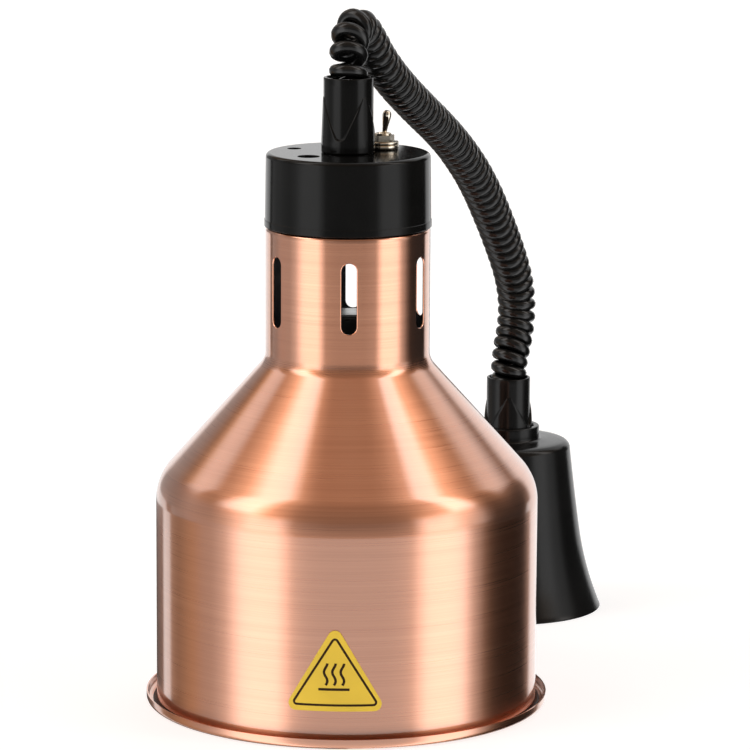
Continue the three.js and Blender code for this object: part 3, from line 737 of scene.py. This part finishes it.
def build_cap():
    band_r = CAP_R + CAP_BAND_T
    band_top = CAP_Z + CAP_BAND_H
    top_r = CAP_R - CAP_TAPER
    under = CAP_TOP_Z - CAP_WALL
    side_low = band_top + 0.5
    side_high = CAP_TOP_Z - CAP_ROUNDING_R
    inner = [(0, under), (18, under), (CAP_R - CAP_WALL, under), (CAP_R - CAP_WALL, CAP_Z + 0.3),
             (CAP_R - CAP_WALL + 0.3, CAP_Z)]
    band = [(band_r - 0.3, CAP_Z), (band_r, CAP_Z + 0.3), (band_r, band_top - 0.4),
            (band_r - 0.15, band_top - 0.15), (CAP_R, band_top), (CAP_R - 0.02, side_low)]
    side = [(CAP_R - CAP_TAPER * t, side_low + (side_high - side_low) * t) for t in np.linspace(0.1, 1, 8)]
    rounding = arc(top_r - CAP_ROUNDING_R, side_high, CAP_ROUNDING_R, 8, 90, 10)
    flat = [(r, CAP_TOP_Z) for r in (48, 40, 30, 18, 0)]
    cap = lathe("top_cap_shell", inner + band + side + rounding + flat, BLACK, LAMP, 144)
    cutters = [cutter(lipped_hole(r, CAP_TOP_Z, 6), LAMP, (x, y), 48) for x, y, r in CAP_HOLES]
    for r, shift in ((GLAND_HOLE_R, (0, 0)), (SWITCH_BORE_R, SWITCH)):
        cutters.append(cutter(plain_hole(r, under - 2, CAP_TOP_Z + 2), LAMP, shift))
    subtract(cap, *cutters)
    paint(cap, BLACK)
    even_normals(cap)
    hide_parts("top_cap")
    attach(cap, "lamp_head")


build_cap()


# ---------------------------------------------------------------- cord sleeves
PETALS = 3
PETAL_TIP = 1.7                       # half the flat tip of a petal
PETAL_BEND_R = 3.8                    # rounding of the valley between two petals
PETAL_FOOT_Z = 8                      # the petals reach their full radius here
SLEEVE_WEB = 3
SLEEVE_COLUMNS = 288
LAMP_SLEEVE_Z = CAP_TOP_Z + 0.3
ROSE_SLEEVE_Z = 127.1


def petal_top(d, span, apex, valley):
    """Height of a petal's edge at distance d round the sleeve from the petal's middle."""
    if d <= PETAL_TIP:
        return apex
    centre = valley + PETAL_BEND_R
    rise = apex - centre
    run = span - PETAL_TIP
    slope = math.atan2(rise, run) + math.asin(PETAL_BEND_R / math.hypot(rise, run))
    if d < span - PETAL_BEND_R * math.sin(slope):
        return apex - (d - PETAL_TIP) * math.tan(slope)
    return centre - math.sqrt(max(PETAL_BEND_R ** 2 - (span - d) ** 2, 0))


def sleeve_column(top, q, flare, r, bore):
    """Closed profile of the sleeve where the petals end at a height; q widens the rounding on slopes."""
    foot_r = flare(0)
    edge = flare(top)
    step = edge - r
    column = [(foot_r - 0.35, 0), (foot_r, 0.35), (foot_r, 1.2)]
    column += [(flare(z), z) for z in np.linspace(2, top - 1.0 * q, 12)]
    column += [(edge - 0.02 * step, top - 0.7 * q), (edge - 0.12 * step, top - 0.42 * q),
               (edge - 0.35 * step, top - 0.18 * q), (edge - 0.7 * step, top - 0.03 * q),
               (r + 0.06 * step, top + 0.06 * q), (r, top + 0.2 * q)]
    column += [(r, z) for z in np.linspace(top + 0.9 * q, SLEEVE_H - 0.9, 8)]
    column += [(r - 0.06, SLEEVE_H - 0.45), (r - 0.25, SLEEVE_H - 0.14), (r - 0.6, SLEEVE_H),
               (bore + 0.5, SLEEVE_H), (bore + 0.15, SLEEVE_H - 0.15), (bore, SLEEVE_H - 0.5),
               (bore, SLEEVE_H / 2), (bore, SLEEVE_WEB), (GLAND_HOLE_R, SLEEVE_WEB), (GLAND_HOLE_R, 0)]
    return column


def build_sleeve(name, node, body, at, z0, r, petal_r, bore, apex_drop, valley_drop, yaw, material):
    """A sleeve of radius r with petals round its foot; the drops are measured from its top."""
    apex = SLEEVE_H - apex_drop
    valley = SLEEVE_H - valley_drop
    span = math.pi / PETALS * (r + petal_r) / 2
    sector = 360 / PETALS
    table = np.linspace(0, span, 200)
    heights = np.array([petal_top(d, span, apex, valley) for d in table])
    kernel = np.hanning(9) / np.hanning(9).sum()
    heights = np.convolve(np.pad(heights, 4, mode="reflect"), kernel, mode="valid")
    gradient = np.gradient(heights, table)

    def flare(z):
        """Outer radius of a petal at a height."""
        edge_r = r + 0.35
        return edge_r + (petal_r - edge_r) * min(max((apex - z) / (apex - PETAL_FOOT_Z), 0), 1)

    points = []
    for i in range(SLEEVE_COLUMNS):
        turned = 360 * i / SLEEVE_COLUMNS
        from_petal = abs((turned + sector / 2) % sector - sector / 2) / (sector / 2) * span
        top = np.interp(from_petal, table, heights)
        q = min(math.sqrt(1 + np.interp(from_petal, table, gradient) ** 2), 2.6)
        column = sleeve_column(top, q, flare, r, bore)
        a = math.radians(yaw + turned)
        points += [(cr * math.cos(a), cr * math.sin(a), z + z0) for cr, z in column]
    count = len(column)
    faces = []
    for i in range(SLEEVE_COLUMNS):
        j = (i + 1) % SLEEVE_COLUMNS
        for k in range(count):
            m = (k + 1) % count
            faces.append((i * count + k, j * count + k, j * count + m, i * count + m))
    sleeve = new_piece(name, points, faces, [material], at, sharp=60)
    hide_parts(node)
    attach(sleeve, body)


build_sleeve("lamp_sleeve_petals", "lamp_cord_sleeve", "lamp_head", LAMP, LAMP_SLEEVE_Z,
             r=17.45, petal_r=18.9, bore=15.2, apex_drop=13.5, valley_drop=42.3, yaw=-49, material=BLACK)
build_sleeve("rose_sleeve_petals", "rose_cord_sleeve", "ceiling_rose", ROSE, ROSE_SLEEVE_Z,
             r=16.7, petal_r=19.35, bore=14.8, apex_drop=14.1, valley_drop=37.4, yaw=-90,
             material=ROSE_BLACK)


# ---------------------------------------------------------------- toggle switch
SWITCH_AT = (LAMP[0] + SWITCH[0], LAMP[1] + SWITCH[1])
SWITCH_FOOT_Z = CAP_TOP_Z + 0.3
WASHER_EDGE = 0.3
THREAD_R = 6.0
THREAD_ROOT_R = 5.75
THREAD_PITCH = 0.8
THREAD_LOW_Z = 385.0
THREAD_TOP_Z = 402.2
BUSHING_TOP_Z = 402.9
LEVER_PIVOT_Z = 396.5
LEVER_BALL_R = 2.9
LEVER_STEM_R = 1.5
LEVER_YAW = -52
LEVER_TILT = 12.5


def build_washer(name, node, low, high, outer):
    """A ring round the switch's bushing with its outer edges broken."""
    e = WASHER_EDGE
    profile = [(SWITCH_BORE_R, low), (outer - e, low), (outer, low + e),
               (outer, high - e), (outer - e, high), (SWITCH_BORE_R, high)]
    piece = lathe(name, profile, NICKEL, SWITCH_AT, 64, sharp=50)
    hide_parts(node)
    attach(piece, "lamp_head")


def build_bushing():
    """The threaded bushing, open at its top where the lever comes out."""
    profile = [(0, THREAD_LOW_Z - 0.3)]
    z = THREAD_LOW_Z
    while z < THREAD_TOP_Z:
        profile += [(THREAD_ROOT_R, z), (THREAD_R, z + 0.25), (THREAD_R, z + 0.4), (THREAD_ROOT_R, z + 0.65)]
        z += THREAD_PITCH
    profile += [(5.8, BUSHING_TOP_Z - 0.3), (5.5, BUSHING_TOP_Z), (4.4, BUSHING_TOP_Z),
                (4.0, BUSHING_TOP_Z - 0.4), (3.4, 393.5), (3.4, 388), (0, 388)]
    bushing = lathe("switch_threaded_bushing", profile, NICKEL, SWITCH_AT, 48, sharp=80)
    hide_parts("switch_bushing")
    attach(bushing, "lamp_head")


def build_lever():
    """The bat lever, drawn upright about its ball and then tilted."""
    profile = [(0, -6), (LEVER_STEM_R, -6), (LEVER_STEM_R, -3)] + arc(0, 0, LEVER_BALL_R, -60, 60, 10)
    profile += [(1.55, 3.0), (1.55, 6), (1.65, 8), (1.95, 11), (2.4, 14), (2.85, 17), (3.12, 19.2)]
    profile += [(3.12, 20.2), (2.95, 21.3), (2.5, 22.3), (1.8, 22.95), (0.9, 23.25), (0, 23.3)]
    points, faces = lathe_data(profile, 40)
    yaw = Matrix.Rotation(math.radians(LEVER_YAW), 3, "Z")
    tilt = yaw @ Matrix.Rotation(math.radians(LEVER_TILT), 3, "Y")
    pivot = Vector((0, 0, LEVER_PIVOT_Z))
    points = [tilt @ Vector(p) + pivot for p in points]
    lever = new_piece("switch_bat_lever", points, faces, [NICKEL], SWITCH_AT)
    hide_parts("switch_lever")
    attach(lever, "toggle")


build_washer("switch_spacer_ring", "switch_spacer", SWITCH_FOOT_Z, SWITCH_FOOT_Z + 2.9, 11)
build_washer("switch_face_washer", "switch_washer", SWITCH_FOOT_Z + 3.2, SWITCH_FOOT_Z + 5.1, 11)
build_bushing()
build_lever()


# ---------------------------------------------------------------- bulb and socket
BULB_FACE_Z = 78
BULB_GLASS_T = 1.0
# radius of the glass and height above its face
BULB_OUTLINE = [
    (0, 0), (10, 0.2), (22, 1.2), (32, 2.7), (41, 4.8), (48, 7.2), (53, 10), (57.2, 13.8), (60, 18),
    (61.8, 23), (62.4, 29), (62.2, 35), (61.3, 41), (59.3, 48), (56, 56), (51.5, 65), (46.5, 74), (41, 83),
    (35.5, 92), (30.5, 100), (26, 108), (22.6, 115), (20, 122), (18.4, 128), (17.3, 134), (16.5, 140),
]
SOCKET_TOP_Z = 277.2
SOCKET_H = 56
SOCKET_ROOF_T = 14
SOCKET_R = 21
SOCKET_SKIRT_R = 19.5
SOCKET_BORE_R = 15.2
PILOT_R = 2.4
PILOT_X = 11


def build_bulb():
    outside = [(r, BULB_FACE_Z + z) for r, z in BULB_OUTLINE]
    foot_r, foot_z = outside[-1]
    inside = [(max(r - BULB_GLASS_T, 0), z + BULB_GLASS_T) for r, z in outside[-2::-1]]
    profile = outside + [(foot_r - BULB_GLASS_T, foot_z)] + inside
    bulb = lathe("bulb_envelope", profile, RED_GLASS, LAMP, 96, sharp=60)
    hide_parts("bulb_glass")
    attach(bulb, "bulb")


def build_socket():
    """The lamp holder: a narrow skirt below, a wider body above, and two screw holes in its roof."""
    top = SOCKET_TOP_Z
    low = top - SOCKET_H
    roof = top - SOCKET_ROOF_T
    profile = [(0, roof), (SOCKET_BORE_R, roof), (SOCKET_BORE_R, low + 0.8), (16, low), (19, low),
               (SOCKET_SKIRT_R, low + 0.6), (SOCKET_SKIRT_R, low + 16), (20.6, low + 17.4),
               (SOCKET_R, low + 18.4)]
    profile += [(SOCKET_R, z) for z in np.linspace(low + 24, top - 3, 5)]
    profile += [(20.6, top - 1.4), (19, top), (0, top)]
    socket = lathe("socket_holder", profile, SOCKET, LAMP, 72)
    pilot = plain_hole(PILOT_R, top - 8.5, top + 1)
    subtract(socket, *[cutter(pilot, LAMP, (x, 0), 24) for x in (-PILOT_X, PILOT_X)])
    paint(socket, SOCKET)
    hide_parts("lamp_socket")
    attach(socket, "lamp_head")


build_bulb()
build_socket()


# ---------------------------------------------------------------- ceiling rose
ROSE_TOP_Z = 131.1
COLLAR_TOP_Z = 141.9
COLLAR_R = 24.1
COLLAR_FILLET_R = 2.2
COLLAR_BORE_R = 19.8
ROSE_FLOOR_Z = 126.8
ROSE_WALL = 2.5
BELL_ROUNDING_R = 6.5
BELL_SCREW_HOLE_R = 2.2
BELL_SCREW_Z = 12
# radius and height of points down the bell's outside
BELL_KNOTS = [(73.1, 0), (70.7, 5.7), (64.1, 24.9), (57.9, 50.4), (53.3, 81.9), (49.5, 112.4), (48.2, 123.9)]


def rose_profile():
    """Closed profile of the bell with its collar, from the gland's hole round by the rim."""
    outside = [(float(r), float(z)) for r, z in spline(BELL_KNOTS, 8)]
    inside = [(r - ROSE_WALL, z) for r, z in outside[::-1]]
    shoulder_r, shoulder_z = outside[-1]
    under_floor = ROSE_FLOOR_Z - ROSE_WALL
    profile = [(GLAND_HOLE_R, under_floor), (20.3, under_floor), (22.5, ROSE_FLOOR_Z),
               (shoulder_r - 7, ROSE_TOP_Z - ROSE_WALL - 1)]
    profile += inside
    profile += [(73.0, 0.0)] + outside[1:]
    profile += arc(shoulder_r - BELL_ROUNDING_R, shoulder_z, BELL_ROUNDING_R, 8, 78, 10)
    foot_r = COLLAR_R + COLLAR_FILLET_R
    profile += [(shoulder_r - 9, ROSE_TOP_Z - 0.5), (34, ROSE_TOP_Z - 0.2), (foot_r, ROSE_TOP_Z)]
    profile += arc(foot_r, ROSE_TOP_Z + COLLAR_FILLET_R, COLLAR_FILLET_R, -110, -175, 5)
    profile += [(COLLAR_R, z) for z in np.linspace(ROSE_TOP_Z + 3, COLLAR_TOP_Z - 1.4, 4)]
    profile += arc(COLLAR_R - 1, COLLAR_TOP_Z - 1, 1, 10, 90, 5)
    profile += [(COLLAR_BORE_R + 0.5, COLLAR_TOP_Z), (COLLAR_BORE_R, COLLAR_TOP_Z - 0.5),
                (COLLAR_BORE_R, ROSE_FLOOR_Z), (GLAND_HOLE_R, ROSE_FLOOR_Z)]
    return profile


def build_rose():
    bell = lathe("rose_bell_shell", rose_profile(), ROSE_BLACK, ROSE, 160)
    points, faces = lathe_data(plain_hole(BELL_SCREW_HOLE_R, 50, 90), 24)
    cutters = []
    for side in (1, -1):
        turned = [(x, side * z, side * -y + BELL_SCREW_Z) for x, y, z in points]
        cutters.append(new_piece("cutter", turned, faces, [], ROSE))
    subtract(bell, *cutters)
    paint(bell, ROSE_BLACK)
    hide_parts("rose_bell")
    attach(bell, "ceiling_rose")


build_rose()


# ---------------------------------------------------------------- carried-over CAD nodes
SLOT_OF = {entry["node"]: entry["material_slot"] for entry in frame["record"]["subparts"]}
SMOOTH = {"live_wire", "switched_wire", "neutral_wire", "earth_wire", "bulb_filament", "rose_live_wire",
          "rose_earth_wire", "rose_neutral_wire"}
EDGE_W = 0.25

for node_name, node in frame["nodes"].items():
    material = SLOT_MATERIALS[SLOT_OF[node_name]]
    for index in range(max(1, len(node.material_slots))):
        if index >= len(node.material_slots):
            node.data.materials.append(material)
        node.material_slots[index].material = material
    if node_name in SMOOTH:
        rounder = node.modifiers.new("rounder", "SUBSURF")
        rounder.levels = rounder.render_levels = 2
    else:
        soft_edges(node, EDGE_W)


# ---------------------------------------------------------------- stage, light and world
FLOOR_R = 14.0                        # metres
FLOOR_DROP = 0.0002
FLOOR_SIDES = 64


def build_stage():
    mesh = bpy.data.meshes.new("floor")
    angles = np.linspace(0, 2 * math.pi, FLOOR_SIDES + 1)[:-1]
    ring = [(FLOOR_R * math.cos(a), FLOOR_R * math.sin(a), -FLOOR_DROP) for a in angles]
    mesh.from_pydata(ring, [], [tuple(range(FLOOR_SIDES))])
    floor = bpy.data.objects.new("floor", mesh)
    bpy.context.scene.collection.objects.link(floor)
    n = Nodes("floor_white")
    n.set(Base_Color=(0.45, 0.45, 0.45, 1), Roughness=0.9)
    n.set(Emission_Color=(1, 1, 1, 1), Emission_Strength=0.7)
    mesh.materials.append(n.material)
    floor.visible_glossy = False


# radiance of the studio against azimuth, in degrees from the front towards +X, in four bands of elevation
STUDIO_LOW = [
    (-180, 0.02), (-148, 0.02), (-144, 1.15), (-135, 1.15), (-131, 0.2), (-122, 0.2), (-106, 0.55),
    (-88, 0.55), (-78, 0.85), (-66, 2.2), (-42, 2.2), (-32, 1.1), (-20, 0.97), (24, 0.97), (40, 1.02),
    (50, 2.2), (74, 2.3), (83, 0.75), (92, 0.1), (98, 0.03), (112, 0.01), (143, 0.01), (149, 1.1),
    (180, 1.1),
]
STUDIO_BAND = [
    (-180, 1.0), (-140, 1.0), (-136, 0.08), (-132, 0.1), (-128, 0.42), (-116, 0.42), (-110, 0.5), (-88, 0.5),
    (-78, 0.8), (-66, 1.7), (-42, 1.7), (-30, 0.3), (-10, 0.27), (24, 0.27), (40, 0.4), (50, 1.7), (73, 1.7),
    (82, 0.6), (92, 0.15), (98, 0.05), (135, 0.03), (140, 1.0), (180, 1.0),
]
STUDIO_HORIZON = [
    (-180, 1.0), (-162, 1.0), (-156, 0.3), (-124, 0.3), (-110, 0.45), (-88, 0.38), (-78, 0.5), (-67, 1.1),
    (-59, 1.9), (-42, 1.9), (-32, 0.35), (-10, 0.2), (24, 0.2), (40, 0.3), (50, 2.0), (65, 2.0), (76, 1.0),
    (88, 0.75), (95, 0.18), (101, 0.04), (141, 0.02), (148, 1.0), (180, 1.0),
]
STUDIO_HIGH = [
    (-180, 0.5), (-150, 0.35), (-138, 0.35), (-130, 1.4), (-117, 1.3), (-110, 0.25), (-95, 0.4), (-82, 3.0),
    (-64, 3.2), (-51, 0.5), (-36, 0.31), (30, 0.31), (54, 0.42), (67, 0.5), (75, 3.4), (87, 3.4), (95, 0.4),
    (104, 0.12), (112, 0.15), (121, 1.25), (140, 1.05), (155, 1.0), (180, 1.0),
]
# sines of the elevations between which one band gives way to the next
LOW_TO_BAND = (-0.22, -0.19)
BAND_TO_HORIZON = (-0.11, -0.07)
HORIZON_TO_HIGH = (0.32, 0.5)
HIGH_TO_ZENITH = (0.93, 0.99)
STUDIO_ZENITH = 0.8
STUDIO_PEAK = 3.6
# how far the light is from white towards STUDIO_WARM, against azimuth, in the lowest and the highest band
STUDIO_WARM = (1, 0.66, 0.4)
WARMTH_LOW = [(-180, 0), (-134, 0), (-128, 1), (-106, 1), (-94, 0.2), (-84, 0), (180, 0)]
WARMTH_HIGH = [
    (-180, 0), (-150, 0.6), (-138, 1), (-134, 1), (-126, 0.1), (-114, 0.05), (-108, 0.7), (-97, 0.75),
    (-86, 0.15), (-66, 0.1), (-52, 0.7), (52, 0.7), (70, 0.15), (86, 0.15), (97, 0.8), (110, 0.9),
    (118, 0.2), (130, 0), (180, 0),
]
COOL_TO_WARM_HIGH = (0.24, 0.44)


def build_world():
    world = bpy.data.worlds.new("studio")
    world.use_nodes = True
    tree = world.node_tree
    background = tree.nodes["Background"]
    where = tree.nodes.new("ShaderNodeTexCoord")
    split = tree.nodes.new("ShaderNodeSeparateXYZ")
    tree.links.new(where.outputs["Generated"], split.inputs[0])

    def math_node(operation, *inputs):
        node = tree.nodes.new("ShaderNodeMath")
        node.operation = operation
        for socket, value in zip(node.inputs, inputs):
            if isinstance(value, (int, float)):
                socket.default_value = value
            else:
                tree.links.new(value, socket)
        return node.outputs[0]

    forward = math_node("MULTIPLY", split.outputs["Y"], -1)
    azimuth = math_node("ARCTAN2", split.outputs["X"], forward)
    turn_part = math_node("MULTIPLY_ADD", azimuth, 1 / (2 * math.pi), 0.5)

    def curve(stops, peak):
        """A value against azimuth, as a share of its peak."""
        node = tree.nodes.new("ShaderNodeValToRGB")
        tree.links.new(turn_part, node.inputs["Fac"])
        set_stops(node, [(degrees / 360 + 0.5, [value / peak] * 3) for degrees, value in stops])
        return node.outputs["Color"]

    def share(low, high):
        """0 below the sine of an elevation, 1 above another, and a smooth step between."""
        node = tree.nodes.new("ShaderNodeMapRange")
        node.interpolation_type = "SMOOTHSTEP"
        node.inputs["From Min"].default_value = low
        node.inputs["From Max"].default_value = high
        tree.links.new(split.outputs["Z"], node.inputs["Value"])
        return node.outputs["Result"]

    def blend(first, second, factor):
        """From the first value to the second as the factor goes from 0 to 1."""
        difference = math_node("SUBTRACT", second, first)
        return math_node("MULTIPLY_ADD", difference, factor, first)

    around = curve(STUDIO_LOW, STUDIO_PEAK)
    for stops, step in ((STUDIO_BAND, LOW_TO_BAND), (STUDIO_HORIZON, BAND_TO_HORIZON),
                        (STUDIO_HIGH, HORIZON_TO_HIGH)):
        around = blend(around, curve(stops, STUDIO_PEAK), share(*step))
    around = blend(around, STUDIO_ZENITH / STUDIO_PEAK, share(*HIGH_TO_ZENITH))
    tree.links.new(math_node("MULTIPLY", around, STUDIO_PEAK), background.inputs["Strength"])

    warmth = blend(curve(WARMTH_LOW, 1), 0, share(*LOW_TO_BAND))
    warmth = blend(warmth, curve(WARMTH_HIGH, 1), share(*COOL_TO_WARM_HIGH))
    tint = tree.nodes.new("ShaderNodeMix")
    tint.data_type = "RGBA"
    white, warm = (socket for socket in tint.inputs if socket.type == "RGBA")
    white.default_value = (1, 1, 1, 1)
    warm.default_value = (*STUDIO_WARM, 1)
    tree.links.new(warmth, tint.inputs[0])
    colour = next(socket for socket in tint.outputs if socket.type == "RGBA")
    tree.links.new(colour, background.inputs["Color"])
    bpy.context.scene.world = world


build_stage()
build_world()

view = bpy.context.scene.view_settings
view.view_transform = "Standard"
view.look = "None"
view.exposure = 0.0
